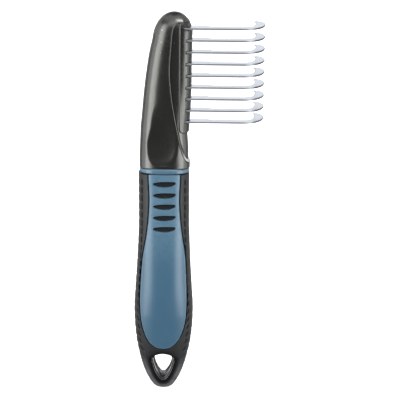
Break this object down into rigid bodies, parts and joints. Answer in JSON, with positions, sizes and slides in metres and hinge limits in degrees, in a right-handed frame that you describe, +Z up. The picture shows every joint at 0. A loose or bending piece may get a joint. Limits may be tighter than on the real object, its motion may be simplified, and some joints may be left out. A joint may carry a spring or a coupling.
{
  "type": "undercoat rake",
  "caption": "Hand-held undercoat rake: a row of hooked steel blades across a slim moulded head, on a rubber-sleeved handle with inlaid panels, finger slots and a hanging hole.",
  "frame": {"origin": "middle of the small flat land on the butt of the handle", "axes": "+Z up the tool from the butt to the head, -Y the front face with the thumb rest, +X the side the blades stick out of"},
  "size_m": [0.0648, 0.0224, 0.202],
  "materials": {
    "head_plastic": "satin metallic-grey moulded plastic with a fine grain",
    "blue_plastic": "semi-gloss slate-blue moulded plastic",
    "core_plastic": "gloss black hard plastic",
    "sleeve_rubber": "matt charcoal soft rubber with an embossed rope tread along both edges",
    "blade_steel": "bright stamped stainless steel, edges ground",
    "fastener_steel": "plain zinc-plated steel"
  },
  "bodies": {
    "root": {"head_front_shell": "head_plastic", "head_back_shell": "head_plastic", "blade_carrier": "head_plastic", "blade_rod": "fastener_steel", "blade_1": "blade_steel", "blade_2": "blade_steel", "blade_3": "blade_steel", "blade_4": "blade_steel", "blade_5": "blade_steel", "blade_6": "blade_steel", "blade_7": "blade_steel", "blade_8": "blade_steel", "blade_9": "blade_steel", "head_screw_upper": "fastener_steel", "head_screw_lower": "fastener_steel", "collar_ring": "blue_plastic", "handle_core": "core_plastic", "tang_pin": "fastener_steel", "front_panel": "blue_plastic", "back_panel": "blue_plastic", "grip_sleeve": "sleeve_rubber"}
  },
  "joints": []
}
